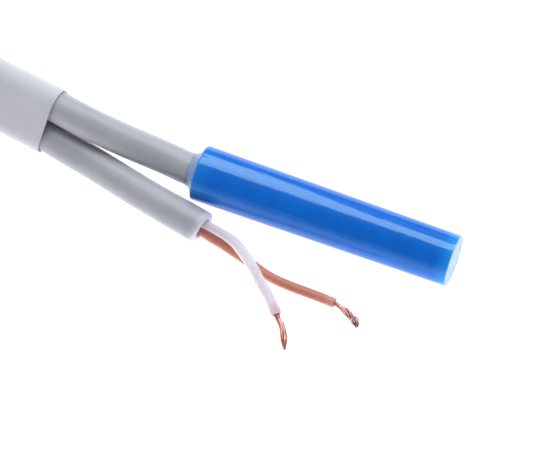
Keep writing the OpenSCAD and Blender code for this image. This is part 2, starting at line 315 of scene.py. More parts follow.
def makeStreakGroup():
    tree, given, out = makeGroup("drawnStreaks", ["Lines", "Along"], ["Mask", "Fine"])
    u, v = vectorParts(tree, given.outputs["Vector"])[:2]
    turn = product(tree, u, 2 * math.pi)
    spot = addNode(tree, "ShaderNodeCombineXYZ", {
        0: product(tree, mathNode(tree, "COSINE", turn), given.outputs["Lines"]),
        1: product(tree, mathNode(tree, "SINE", turn), given.outputs["Lines"]),
        2: product(tree, v, given.outputs["Along"])}).outputs[0]
    broad = noiseNode(tree, spot, streaks["broadScale"], 2.0)
    fine = noiseNode(tree, spot, streaks["fineScale"], 3.0)
    tree.links.new(mapRange(tree, broad.outputs["Fac"], *streaks["maskEdges"]), out.inputs["Mask"])
    tree.links.new(fine.outputs["Fac"], out.inputs["Fine"])
    return tree


grainGroup = makeGrainGroup()
streakGroup = makeStreakGroup()


def useGrain(tree, vector, scale):
    made = addNode(tree, "ShaderNodeGroup", {"Vector": vector, "Scale": scale}, node_tree=grainGroup)
    return made.outputs["Height"], made.outputs["Tone"]


def useStreaks(tree, vector, lines, along):
    inputs = {"Vector": vector, "Lines": lines, "Along": along}
    made = addNode(tree, "ShaderNodeGroup", inputs, node_tree=streakGroup)
    return made.outputs["Mask"], made.outputs["Fine"]


def newMaterial(name, constants):
    material = bpy.data.materials.new(name)
    material.use_nodes = True
    tree = material.node_tree
    shader = tree.nodes["Principled BSDF"]
    for label, value in constants.items():
        shader.inputs[label].default_value = value
    return material, tree, shader


def objectCoords(tree):
    return addNode(tree, "ShaderNodeTexCoord").outputs["Object"]


def uvCoords(tree):
    return addNode(tree, "ShaderNodeUVMap", uv_map="along").outputs["UV"]


# round-the-axis coordinates for a piece that runs along X beside y: turn as u, X as v
def axisCoords(tree, y):
    along, far, high = vectorParts(tree, objectCoords(tree))
    across = mathNode(tree, "SUBTRACT", far, y)
    rise = mathNode(tree, "SUBTRACT", high, axisZ)
    turn = mathNode(tree, "DIVIDE", mathNode(tree, "ARCTAN2", rise, across), 2 * math.pi)
    return addNode(tree, "ShaderNodeCombineXYZ", {0: turn, 1: along, 2: 0.0}).outputs[0]


def addBump(tree, shader, height, strength, distance):
    bump = addNode(tree, "ShaderNodeBump", {"Height": height, "Strength": strength, "Distance": distance})
    tree.links.new(bump.outputs[0], shader.inputs["Normal"])


def feed(tree, shader, **sockets):
    for label, socket in sockets.items():
        tree.links.new(socket, shader.inputs[label.replace("_", " ")])


# blue moulded plastic: painted glow near both ends for light that leaks through, a painted pale reflection
# on the tip face; a reach is measured from the rim or from the tip, and the flow lines fade towards the tip
housingBlue = {
    "deep": (0.002, 0.140, 0.660),
    "body": (0.003, 0.158, 0.735),
    # painted glow near the rim and near the tip, standing in for light that leaks through the plastic
    "paintedRimGlow": (0.006, 0.200, 0.740), "rimReach": (0.0002, 0.0022),
    "paintedTipGlow": (0.009, 0.310, 1.000), "tipReach": (0.0018, 0.0002),
    # tip face: painted pale reflection of the white surroundings, mottled by clouds
    "paintedTipReflection": (0.258, 0.510, 0.685), "faceReach": (0.00014, 0.00007),
    "paintedTipReflectionCloud": (0.415, 0.565, 0.735), "cloudScale": 1500.0, "cloudEdges": (0.35, 0.65),
    "grainScale": 5200.0, "pitShare": 0.1,
    "flowLines": 9.0, "flowAlong": 260.0, "broadShare": 0.8, "fineShare": 0.5, "flowFade": (0.6, 0.2),
    "roughness": (0.06, 0.085), "faceRough": 0.3, "wornRough": 0.025, "wornReach": 0.012,
}


def makeHousingBlue():
    s = housingBlue
    material, tree, shader = newMaterial("housingBlue", {
        "IOR": 1.47, "Coat Roughness": 0.03, "Specular IOR Level": 0.7, "Specular Tint": (0.62, 1, 1, 1)})
    spot = objectCoords(tree)
    x = vectorParts(tree, spot)[0]
    height, tone = useGrain(tree, spot, s["grainScale"])
    nearRim = mapRange(tree, x, rimX + s["rimReach"][0], rimX + s["rimReach"][1], 1.0, 0.0)
    nearTip = mapRange(tree, x, tipX - s["tipReach"][0], tipX - s["tipReach"][1])
    onTip = mapRange(tree, x, tipX - s["faceReach"][0], tipX - s["faceReach"][1])
    cloud = noiseNode(tree, spot, s["cloudScale"], 2.0).outputs["Fac"]
    # painted reflection on the tip face, mottled by the cloud noise
    face = mixColours(tree, mapRange(tree, cloud, *s["cloudEdges"]), s["paintedTipReflection"], s["paintedTipReflectionCloud"])
    colour = mixColours(tree, tone, s["deep"], s["body"])
    # painted glow towards the rim and the tip, for light leaking through the plastic
    colour = mixColours(tree, nearRim, colour, s["paintedRimGlow"])
    colour = mixColours(tree, nearTip, colour, s["paintedTipGlow"])
    colour = mixColours(tree, onTip, colour, face)
    worn = mapRange(tree, x, rimX, rimX + s["wornReach"], s["wornRough"], 0.0)
    rough = mathNode(tree, "ADD", mapRange(tree, tone, 0.0, 1.0, *s["roughness"]), worn)
    rough = mathNode(tree, "ADD", rough, product(tree, onTip, s["faceRough"]))
    feed(tree, shader, Base_Color=colour, Roughness=rough,
         Coat_Weight=mapRange(tree, height, 0.3, 0.7, 0.12, 0.06))
    streak, fine = useStreaks(tree, axisCoords(tree, 0.0), s["flowLines"], s["flowAlong"])
    flow = shareSum(tree, streak, s["broadShare"], fine, s["fineShare"])
    flow = product(tree, flow, mapRange(tree, x, rimX, tipX, *s["flowFade"]))
    pits = product(tree, height, s["pitShare"])
    skin = shareSum(tree, pits, mathNode(tree, "SUBTRACT", 1.0, onTip), cloud, onTip)
    addBump(tree, shader, mathNode(tree, "ADD", flow, skin), 0.9, 0.00002)
    return material


# grey cable jacket: semi-matt extruded PVC with faint lengthwise lines and handling clouds, paler
# near the cut end: partly whitened cut PVC, partly painted light on the lip
jacketGrey = {
    "light": (0.472, 0.480, 0.530),
    "dark": (0.420, 0.428, 0.474),
    # cut end: partly whitened PVC, partly painted light on the lip
    "cutWhiteAndPaintedLight": (0.740, 0.740, 0.800), "cutReach": (0.0019, 0.00225), "cutShare": 0.8,
    "lines": 2.6, "along": 140.0, "lineShare": 0.6,
    "grainScale": 3800.0,
    "roughness": (0.36, 0.46),
}


def makeJacketGrey():
    s = jacketGrey
    material, tree, shader = newMaterial("jacketGrey", {
        "IOR": 1.5, "Subsurface Weight": 0.6, "Subsurface Scale": 0.0013, "Subsurface Radius": (1, 1, 1)})
    spot = objectCoords(tree)
    height, tone = useGrain(tree, spot, s["grainScale"])
    streak, fine = useStreaks(tree, uvCoords(tree), s["lines"], s["along"])
    colour = mixColours(tree, shareSum(tree, streak, 0.5, tone, 0.5), s["dark"], s["light"])
    # paler near the cut end: partly whitened cut PVC, partly painted light on the lip
    nearCut = mapRange(tree, distanceTo(tree, spot, cutPlace), *s["cutReach"], s["cutShare"], 0.0)
    colour = mixColours(tree, nearCut, colour, s["cutWhiteAndPaintedLight"])
    feed(tree, shader, Base_Color=colour, Roughness=mapRange(tree, tone, 0.0, 1.0, *s["roughness"]))
    addBump(tree, shader, shareSum(tree, fine, s["lineShare"], height, 1.0), 0.25, 0.000012)
    return material


# insulation of a core: smooth PVC drawn along the wire; root and end are tints by distance along,
# at the cut jacket and at the stripped end; the root tint is painted shade on the white core and painted
# light on the brown one, where they leave the jacket's mouth
coreColours = {
    "white": {
        "light": (0.865, 0.815, 0.860), "dark": (0.835, 0.785, 0.830), "streak": (0.88, 0.83, 0.875),
        # root: painted shade, darker, where the core leaves the jacket's mouth
        "root": (0.62, 0.54, 0.60), "rootReach": (0.0024, 0.0085), "rootShare": 0.75,
        "end": (0.74, 0.47, 0.47), "endReach": (0.0153, 0.0165), "endShare": 0.6,
        "depth": 0.5, "gloss": 0.25, "roughness": (0.52, 0.64),
    },
    "brown": {
        "light": (0.700, 0.262, 0.192), "dark": (0.590, 0.204, 0.142), "streak": (0.72, 0.30, 0.225),
        # root: painted light, pinker and lighter, where the core leaves the jacket's mouth
        "root": (0.78, 0.40, 0.38), "rootReach": (0.0024, 0.0052), "rootShare": 0.5,
        "end": (0.84, 0.46, 0.44), "endReach": (0.0194, 0.0201), "endShare": 0.45,
        "depth": 0.25, "gloss": 0.4, "roughness": (0.38, 0.50),
    },
}
coreFinish = {"grainScale": 6000.0, "lines": 1.5, "along": 170.0, "streakEdges": (0.56, 0.72)}


def makeCoreFinish(name, s, onCable):
    material, tree, shader = newMaterial(name, {
        "IOR": 1.5, "Specular IOR Level": s["gloss"],
        "Subsurface Weight": s["depth"], "Subsurface Scale": 0.0007, "Subsurface Radius": (1, 1, 1)})
    vector = uvCoords(tree) if onCable else axisCoords(tree, 0.0)
    height, tone = useGrain(tree, objectCoords(tree), coreFinish["grainScale"])
    streak, fine = useStreaks(tree, vector, coreFinish["lines"], coreFinish["along"])
    colour = mixColours(tree, streak, s["dark"], s["light"])
    colour = mixColours(tree, mapRange(tree, fine, *coreFinish["streakEdges"]), colour, s["streak"])
    if onCable:
        along = vectorParts(tree, vector)[1]
        # painted shading near the jacket's mouth: darker on the white core, lighter on the brown
        paintedRootShading = mapRange(tree, along, *s["rootReach"], s["rootShare"], 0.0)
        colour = mixColours(tree, paintedRootShading, colour, s["root"])
        endTint = mapRange(tree, along, *s["endReach"], 0.0, s["endShare"])
        colour = mixColours(tree, endTint, colour, s["end"])
    feed(tree, shader, Base_Color=colour, Roughness=mapRange(tree, tone, 0.0, 1.0, *s["roughness"]))
    addBump(tree, shader, shareSum(tree, fine, 0.5, height, 0.5), 0.2, 0.00001)
    return material


# bare copper: drawn wire, brown in the hollows and salmon where it was rubbed bright; the neck
# colour lies round the spot where the strands leave the insulation
copper = {
    "white": {
        "dark": (0.250, 0.090, 0.072), "body": (0.600, 0.265, 0.190), "bright": (0.960, 0.640, 0.500),
        "neck": (0.450, 0.185, 0.180), "neckSpot": (-0.0005, -0.01275, 0.0006),
        "neckReach": (0.0004, 0.0024),
    },
    "brown": {
        "dark": (0.310, 0.140, 0.122), "body": (0.640, 0.325, 0.275), "bright": (0.930, 0.650, 0.560),
        "neck": (0.640, 0.260, 0.230), "neckSpot": (0.00505, -0.0088, 0.00056),
        "neckReach": (0.0004, 0.0014),
    },
}
copperFinish = {"grainScale": 9000.0, "lines": 0.9, "along": 420.0, "neckShare": 0.8}


def makeCopper(name, s, onCable):
    material, tree, shader = newMaterial(name, {"Metallic": 1.0})
    spot = objectCoords(tree)
    vector = uvCoords(tree) if onCable else axisCoords(tree, 0.0)
    tone = useGrain(tree, spot, copperFinish["grainScale"])[1]
    streak, fine = useStreaks(tree, vector, copperFinish["lines"], copperFinish["along"])
    colour = rampNode(tree, shareSum(tree, streak, 0.5, tone, 0.5), [
        (0.08, s["dark"]), (0.42, s["body"]), (0.92, s["bright"])])
    if onCable:
        away = distanceTo(tree, spot, s["neckSpot"])
        nearNeck = mapRange(tree, away, *s["neckReach"], copperFinish["neckShare"], 0.0)
        colour = mixColours(tree, nearNeck, colour, s["neck"])
    feed(tree, shader, Base_Color=colour, Roughness=mapRange(tree, streak, 0.0, 1.0, 0.48, 0.28))
    addBump(tree, shader, fine, 0.2, 0.000006)
    return material


# white tape: matt, faint fibres round it and a little lilac in its clouds
tieWhite = {
    "light": (0.640, 0.648, 0.692), "dark": (0.570, 0.578, 0.622),
    "grainScale": 2600.0, "fibreScale": (900.0, 2600.0, 2600.0), "cloudShare": 0.6, "fibreShare": 0.4,
}


def makeTieWhite():
    s = tieWhite
    material, tree, shader = newMaterial("tieWhite", {"IOR": 1.45})
    spot = objectCoords(tree)
    height, tone = useGrain(tree, spot, s["grainScale"])
    stretched = addNode(tree, "ShaderNodeMapping", {"Vector": spot, "Scale": s["fibreScale"]})
    fibre = noiseNode(tree, stretched.outputs[0], 1.0, 3.0).outputs["Fac"]
    shade = shareSum(tree, tone, s["cloudShare"], fibre, s["fibreShare"])
    feed(tree, shader, Base_Color=mixColours(tree, shade, s["dark"], s["light"]),
         Roughness=mapRange(tree, height, 0.3, 0.7, 0.62, 0.8))
    addBump(tree, shader, fibre, 0.35, 0.00002)
    return material


# potting resin: cloudy clear epoxy with a few fine bubbles, and a painted blue glow near the rim for the
# tube's light shining into it
resin = {
    "clear": (0.320, 0.350, 0.500), "cloud": (0.410, 0.435, 0.590), "grainScale": 2600.0,
    "bubble": (0.78, 0.79, 0.88), "bubbleScale": 2300.0, "bubbleEdges": (0.08, 0.16), "bubbleShare": 0.4,
    # painted blue light from the tube near the rim
    "paintedRimLight": (0.205, 0.385, 0.660), "rimReach": (0.0013, 0.0002),
}


def makeResin():
    s = resin
    material, tree, shader = newMaterial("pottingResin", {
        "IOR": 1.52, "Specular IOR Level": 0.2, "Transmission Weight": 0.12})
    spot = objectCoords(tree)
    height, tone = useGrain(tree, spot, s["grainScale"])
    cells = addNode(tree, "ShaderNodeTexVoronoi", {"Vector": spot, "Scale": s["bubbleScale"]})
    bubble = mapRange(tree, cells.outputs["Distance"], *s["bubbleEdges"], 1.0, 0.0)
    colour = mixColours(tree, tone, s["clear"], s["cloud"])
    colour = mixColours(tree, product(tree, bubble, s["bubbleShare"]), colour, s["bubble"])
    x = vectorParts(tree, spot)[0]
    # painted blue glow near the rim, standing in for the blue tube's light shining into the resin
    nearRim = mapRange(tree, x, rimX - s["rimReach"][0], rimX - s["rimReach"][1])
    colour = mixColours(tree, nearRim, colour, s["paintedRimLight"])
    feed(tree, shader, Base_Color=colour, Roughness=mapRange(tree, tone, 0.0, 1.0, 0.12, 0.24))
    addBump(tree, shader, mathNode(tree, "ADD", height, bubble), 0.15, 0.000015)
    return material


# capsule glass: green-tinged clear glass with faint drawn streaks
capsuleGlass = {"clear": (0.80, 0.93, 0.88), "tint": (0.70, 0.88, 0.81), "lines": 1.2, "along": 90.0}


def makeGlass():
    s = capsuleGlass
    material, tree, shader = newMaterial("capsuleGlass", {"IOR": 1.5, "Transmission Weight": 1.0})
    streak, fine = useStreaks(tree, axisCoords(tree, switchY), s["lines"], s["along"])
    feed(tree, shader, Base_Color=mixColours(tree, streak, s["tint"], s["clear"]),
         Roughness=mapRange(tree, fine, 0.2, 0.8, 0.02, 0.06))
    return material


# reed wire and solder: pale plated metal with drawn lines, and dull tin with frosty clouds
reedMetal = {"dark": (0.520, 0.500, 0.450), "light": (0.800, 0.780, 0.730), "lines": 1.8, "along": 260.0}
solderTin = {"dark": (0.450, 0.460, 0.480), "light": (0.760, 0.770, 0.790), "grainScale": 5200.0}


def makeReedMetal():
    s = reedMetal
    material, tree, shader = newMaterial("reedMetal", {"Metallic": 1.0})
    streak, fine = useStreaks(tree, axisCoords(tree, switchY), s["lines"], s["along"])
    feed(tree, shader, Base_Color=mixColours(tree, streak, s["dark"], s["light"]),
         Roughness=mapRange(tree, fine, 0.2, 0.8, 0.2, 0.4))
    addBump(tree, shader, fine, 0.15, 0.000005)
    return material


def makeSolder():
    s = solderTin
    material, tree, shader = newMaterial("solderTin", {"Metallic": 1.0})
    height, tone = useGrain(tree, objectCoords(tree), s["grainScale"])
    feed(tree, shader, Base_Color=mixColours(tree, tone, s["dark"], s["light"]),
         Roughness=mapRange(tree, height, 0.3, 0.7, 0.25, 0.5))
    addBump(tree, shader, height, 0.3, 0.00002)
    return material


materials = {
    "housing": makeHousingBlue(),
    "jacket": makeJacketGrey(),
    "whiteTail": makeCoreFinish("coreWhiteTail", coreColours["white"], True),
    "brownTail": makeCoreFinish("coreBrownTail", coreColours["brown"], True),
    "whiteInner": makeCoreFinish("coreWhiteInner", coreColours["white"], False),
    "brownInner": makeCoreFinish("coreBrownInner", coreColours["brown"], False),
    "whiteCopper": makeCopper("copperWhiteTail", copper["white"], True),
    "brownCopper": makeCopper("copperBrownTail", copper["brown"], True),
    "copperInner": makeCopper("copperInner", copper["white"], False),
    "tie": makeTieWhite(),
    "resin": makeResin(),
    "glass": makeGlass(),
    "reed": makeReedMetal(),
    "solder": makeSolder(),
}
print("materials made:", len(materials))

# the cable: from inside the resin to the hank, round the hank, and back to its cut end, which the
# cutter pressed wider and left a little slanted
cable = {
    "diameter": 0.0038, "length": 0.35, "sides": 48, "spacing": 0.0005,
    "sensorRun": [
        (-0.008625, 0, 0.0033), (-0.0119, 0, 0.0033), (-0.01515, 0, 0.0033), (-0.01635, 0, 0.0033),
        (-0.018, 0.00013, 0.00335), (-0.020, 0.00025, 0.00352), (-0.024, 0.0003, 0.00402),
        (-0.028, 0.0004, 0.0047), (-0.031, 0.00057, 0.00525), (-0.0333, 0.0009, 0.0054),
        (-0.038, 0.0016, 0.0054), (-0.0423, 0.0022, 0.0054), (-0.0466, 0.0032, 0.0058),
        (-0.0507, 0.0052, 0.0065), (-0.0543, 0.0078, 0.0072),
    ],
    "tailRun": [
        (-0.0554, -0.0024, 0.0019), (-0.0512, -0.0007, 0.0020), (-0.0468, 0, 0.0021),
        (-0.0423, -0.0003, 0.0023), (-0.038, -0.0009, 0.0023), (-0.0333, -0.0016, 0.0023),
        (-0.0308, -0.0021, 0.0021), (-0.0283, -0.00252, 0.0019), (-0.0257, -0.00312, 0.0019),
        (-0.0204, -0.00436, 0.0019), (-0.015, -0.00548, 0.0019), cutPlace,
    ],
    "mouthRadius": 0.0013, "mouthDepth": 0.0010,
    "flare": 0.035, "flareRun": 0.008,
    "lip": 0.00042, "lipIn": 0.00022, "lipRadius": 0.00116,
    "slant": 0.00018, "slantTurn": 0.5, "wave": 0.00003,
}
hank = {
    "rightX": -0.0665, "leftX": -0.098, "midY": 0.004, "foldRadius": 0.0114,
    "enterAngle": 37.6, "leaveAngle": -50.0, "dropAngle": 48.0, "topZ": 0.0076, "laneDrop": 0.018,
    "pointStep": 0.0028,
}


# hank: s is the distance round a long loop with round ends, from the start of its far lane;
# two laps, and three eased drops of half a diameter bring the second lap under the first
def hankRoute():
    r, mid = hank["foldRadius"], hank["midY"]
    lane = hank["rightX"] - hank["leftX"]
    fold = math.pi * r
    lap = 2 * (lane + fold)
    enter = -math.radians(90 - hank["enterAngle"]) * r
    leave = 2 * lap - math.radians(90 - hank["leaveAngle"]) * r
    s = np.linspace(enter, leave, int((leave - enter) / hank["pointStep"]))
    at = np.mod(s, lap)
    leftTurn = np.pi / 2 + (at - lane) / r
    rightTurn = -np.pi / 2 + (at - 2 * lane - fold) / r
    places = [at < lane, at < lane + fold, at < 2 * lane + fold]
    x = np.select(places, [hank["rightX"] - at, hank["leftX"] + r * np.cos(leftTurn),
                           hank["leftX"] + at - lane - fold], hank["rightX"] + r * np.cos(rightTurn))
    y = np.select(places, [mid + r + 0 * at, mid + r * np.sin(leftTurn), mid - r + 0 * at],
                  mid + r * np.sin(rightTurn))
    half = cable["diameter"] / 2
    foldDrop = lap - math.radians(hank["dropAngle"] + 90) * r
    foldRun = math.radians(hank["dropAngle"] + hank["enterAngle"]) * r
    z = hank["topZ"] - half * (easedStep(s / hank["laneDrop"]) + easedStep((s - foldDrop) / foldRun)
                               + easedStep((s - lap) / hank["laneDrop"]))
    return np.stack([x, y, z], axis=1)


def makeCable():
    s = cable
    radius = s["diameter"] / 2
    points = np.concatenate([np.array(s["sensorRun"]), hankRoute(), np.array(s["tailRun"])])
    path = smoothRoute(points, s["spacing"])
    body = path[:-2].copy()
    past = 2 * s["spacing"]
    ahead = s["spacing"] * np.arange(len(body))[::-1]
    wide = radius * (1 + s["flare"] * easedStep(1 - ahead / s["flareRun"]))
    body[:, 2] += wide - radius
    a = np.linspace(0, np.pi / 2, 7)
    lip, mouth, floorAt = s["lip"], s["mouthRadius"], past - s["mouthDepth"]
    crest = wide[-1] - lip
    outer = pairs(past - lip * (1 - np.sin(a)), crest + lip * np.cos(a))
    fall = crest - (crest - s["lipRadius"]) * np.sin(a)
    inner = pairs(past - s["lipIn"] * (1 - np.cos(a)), fall)
    floor = np.array([[floorAt, mouth], [floorAt, mouth / 2], [floorAt, 0.0]])
    head = [(0.0, 0.0), (0.0, radius * 0.6), (0.0, radius * 0.99)]
    tail = np.concatenate([outer, inner[1:], floor])

    def cut(t):
        return s["slant"] * (np.cos(t - s["slantTurn"]) - 1) + s["wave"] * np.sin(3 * t + 1.0)

    grid = tubeGrid(body, wide, s["sides"], head, tail, cut)
    piece = gridPiece("cable", grid, materials["jacket"],
                      ("cable_sensor_run", "cable_hank", "cable_tail_run"))
    return piece, path


cablePiece, cablePath = makeCable()
print("cable made:", len(cablePath), "rings")

# cores that come out of the cut end, white over brown, with their stripped copper; an envelope is the
# bundle's radius in millimetres by the share of its length
tailCores = {
    "white": {
        "core": [
            (-0.0146, -0.0052, 0.00238), (-0.0124, -0.00562, 0.00240), (-0.0112, -0.00578, 0.00234),
            (-0.0100, -0.00596, 0.00221), (-0.0086, -0.0063, 0.00204), (-0.00715, -0.00708, 0.00192),
            (-0.00585, -0.0080, 0.00182), (-0.00485, -0.00885, 0.00165), (-0.0034, -0.0101, 0.0012),
            (-0.0020, -0.01125, 0.00085), (-0.0006, -0.01265, 0.0006),
        ],
        "bare": [
            (-0.00023, -0.01309, 0.00055), (0.00029, -0.01353, 0.0005), (0.00073, -0.01415, 0.00047),
            (0.00107, -0.01475, 0.00045), (0.00137, -0.01536, 0.00043), (0.00159, -0.01586, 0.00042),
            (0.00188, -0.01635, 0.0004),
        ],
        "curls": [],
        "radius": 0.00063, "rootRadius": 0.00051, "ragged": 0.00005,
        "layers": (1, 5, 9),
        "envelope": [
            (0, 0.22), (0.11, 0.22), (0.23, 0.17), (0.365, 0.225), (0.514, 0.255), (0.65, 0.3),
            (0.78, 0.27), (0.888, 0.14), (1, 0.03)],
        "turns": 0.55, "loose": 0.05, "shortest": 0.86, "strandWidth": 0.00022, "seed": 4,
    },
    "brown": {
        "core": [
            (-0.0147, -0.00565, 0.00128), (-0.01255, -0.00608, 0.00128), (-0.0111, -0.0064, 0.0011),
            (-0.0100, -0.00655, 0.00095), (-0.00895, -0.00677, 0.0008), (-0.0079, -0.0070, 0.00068),
            (-0.00565, -0.00762, 0.00056), (-0.0034, -0.0083, 0.00056), (-0.0013, -0.00858, 0.00056),
            (0.0007, -0.00865, 0.00056), (0.0032, -0.0087, 0.00056), (0.00505, -0.0088, 0.00056),
        ],
        "bare": [
            (0.00531, -0.00882, 0.00052), (0.00577, -0.00895, 0.0005), (0.00625, -0.00912, 0.00048),
            (0.00678, -0.00934, 0.00047), (0.00723, -0.00958, 0.00047), (0.00761, -0.00989, 0.00047),
            (0.00801, -0.01014, 0.00047), (0.00832, -0.01035, 0.00046), (0.00849, -0.01069, 0.00042),
        ],
        "curls": [
            [(0.00704, -0.00937, 0.00062), (0.00745, -0.00959, 0.00074), (0.00776, -0.00964, 0.00078),
             (0.00798, -0.00974, 0.00072), (0.00799, -0.00994, 0.0006), (0.00789, -0.01015, 0.0005)],
            [(0.00734, -0.00964, 0.0006), (0.00757, -0.00986, 0.00066), (0.00771, -0.01002, 0.00062),
             (0.00795, -0.01004, 0.00055), (0.00816, -0.01015, 0.0005)],
            [(0.00779, -0.00959, 0.00066), (0.00806, -0.00964, 0.0007), (0.00831, -0.00976, 0.00066),
             (0.00838, -0.00995, 0.0006), (0.00834, -0.01016, 0.0005)],
            [(0.00793, -0.00974, 0.0006), (0.00804, -0.00994, 0.00064), (0.00819, -0.01008, 0.0006),
             (0.00836, -0.01016, 0.0005)],
        ],
        "radius": 0.00057, "rootRadius": 0.00057, "ragged": 0.00006,
        "layers": (1, 5, 8),
        "envelope": [
            (0, 0.15), (0.12, 0.16), (0.2, 0.165), (0.28, 0.155), (0.39, 0.235), (0.515, 0.35),
            (0.63, 0.34), (0.735, 0.2), (0.835, 0.33), (0.915, 0.27), (1, 0.07)],
        "turns": 0.35, "loose": 0.1, "shortest": 0.88, "strandWidth": 0.00018, "seed": 9,
    },
}
coreShape = {
    "spacing": 0.00014, "sides": 28, "taperFrom": 0.0032, "taperRun": 0.0052,
    "hole": 0.00035, "holeDepth": 0.0006, "holeStep": 0.0002,
}


def makeCore(name, s, material, node):
    path = smoothRoute(s["core"], coreShape["spacing"])
    past = 2 * np.linalg.norm(path[-1] - path[-2])
    hole, floorAt = coreShape["hole"], past - coreShape["holeDepth"]
    rounded = (s["radius"] - hole) / 2
    a = np.linspace(0, np.pi, 9)
    edge = pairs(past - rounded + rounded * np.sin(a), hole + rounded * (1 + np.cos(a)))
    bore = [[past - coreShape["holeStep"], hole * 0.98], [floorAt, hole * 0.95], [floorAt, 0.0]]
    along = coreShape["spacing"] * np.arange(len(path) - 2)
    taper = easedStep((along - coreShape["taperFrom"]) / coreShape["taperRun"])
    radius = s["rootRadius"] + (s["radius"] - s["rootRadius"]) * taper
    head = [(0.0, 0.0), (0.0, s["rootRadius"] * 0.98)]

    def cut(t):
        return s["ragged"] * (0.6 * np.sin(2 * t + 0.8) + 0.4 * np.sin(5 * t))

    grid = tubeGrid(path[:-2], radius, coreShape["sides"], head, np.concatenate([edge, bore]), cut)
    return gridPiece(name, grid, material, (node,))


strandShape = {
    "spacing": 0.00004, "rings": 70, "sides": 10, "lowest": 0.00002,
    "rootShare": 0.9, "straight": 0.15, "layerTurn": 0.26, "angleSpread": 0.09, "shortest": 0.93,
    "waves": (5, 9), "sway": 1.5, "twist": 2.5, "twistWave": 0.7,
    "curlSpacing": 0.000004, "curlWidth": 0.6,
}


# copper: strand k winds at its own angle and share of the bundle's radius, strays a little,
# and stops at its own length; curls are single strands on routes of their own, and all strands
# are one array of rings
def makeStrands(name, s, material, node):
    form = strandShape
    core = np.array(s["core"])
    heading = (core[-1] - core[-2]) / np.linalg.norm(core[-1] - core[-2])
    root = core[-1] - coreShape["holeDepth"] * form["rootShare"] * heading
    path = smoothRoute(np.concatenate([[root, core[-1]], np.array(s["bare"])]), form["spacing"])
    side, up = pathFrames(path)[1:]
    place = np.linspace(0, 1, len(path))
    draw = np.random.default_rng(s["seed"])
    counts = np.array(s["layers"])
    layer = np.repeat(np.arange(len(counts)) / (len(counts) - 1), counts)
    angle = 2 * np.pi * np.concatenate([np.arange(n) / n for n in counts]) + form["layerTurn"] * layer
    angle = angle + draw.normal(0, form["angleSpread"], len(layer))
    outerEnds = draw.uniform(s["shortest"], 1, len(layer))
    innerEnds = draw.uniform(form["shortest"], 1, len(layer))
    length = np.where(layer == 1, outerEnds, innerEnds)
    rings = form["rings"]
    t = length[:, None] * np.linspace(0, 1, rings)

    def onPath(values):
        return np.stack([np.interp(t, place, values[:, i]) for i in range(3)], axis=-1)

    envelope = np.array(s["envelope"])
    out = np.clip(t - form["straight"], 0, 1)
    phase = draw.uniform(0, 2 * np.pi, (len(layer), 3))
    wave = draw.uniform(*form["waves"], (len(layer), 1))
    stray = s["loose"] * out ** 1.5
    share = layer[:, None] + stray * np.sin(wave * t + phase[:, :1]) * form["sway"]
    twist = form["twist"] * stray * np.sin(form["twistWave"] * wave * t + phase[:, 1:2])
    turn = angle[:, None] + 2 * np.pi * s["turns"] * out + twist
    r = share * np.interp(t, envelope[:, 0], envelope[:, 1]) * mm
    centre = onPath(path) + r[..., None] * (
        np.cos(turn)[..., None] * onPath(side) + np.sin(turn)[..., None] * onPath(up))
    width = np.full(len(layer), s["strandWidth"])
    if s["curls"]:
        curls = [smoothRoute(points, form["curlSpacing"]) for points in s["curls"]]
        curls = [curl[np.linspace(0, len(curl) - 1, rings).astype(int)] for curl in curls]
        centre = np.concatenate([centre, np.stack(curls)])
        width = np.concatenate([width, np.full(len(curls), s["strandWidth"] * form["curlWidth"])])
    level, rise = pathFrames(centre)[1:]
    a = ringAngles(form["sides"])
    spokes = np.cos(a)[:, None] * level[:, :, None] + np.sin(a)[:, None] * rise[:, :, None]
    grid = capped(centre[:, :, None] + width[:, None, None, None] / 2 * spokes)
    grid[..., 2] = np.maximum(grid[..., 2], form["lowest"])
    return gridPiece(name, grid, material, (node,))


white, brown = tailCores["white"], tailCores["brown"]
whiteCore = makeCore("whiteCore", white, materials["whiteTail"], "white_core_tail")
brownCore = makeCore("brownCore", brown, materials["brownTail"], "brown_core_tail")
whiteCopper = makeStrands("whiteCopper", white, materials["whiteCopper"], "white_strands_tail")
brownCopper = makeStrands("brownCopper", brown, materials["brownCopper"], "brown_strands_tail")
print("cores and copper made")

# white tape round the two stacked cables, lapped over itself on the far side
tie = {
    "x": -0.03348, "width": 0.009, "slope": -1.3 / 9, "thickness": 0.0002, "gap": 0.00008,
    "low": (-0.0016, 0.0023), "high": (0.0009, 0.0054), "step": 0.0003,
    "startShare": 0.25, "lap": 0.0042, "lapRise": 1.1, "lapRun": 0.0016,
}


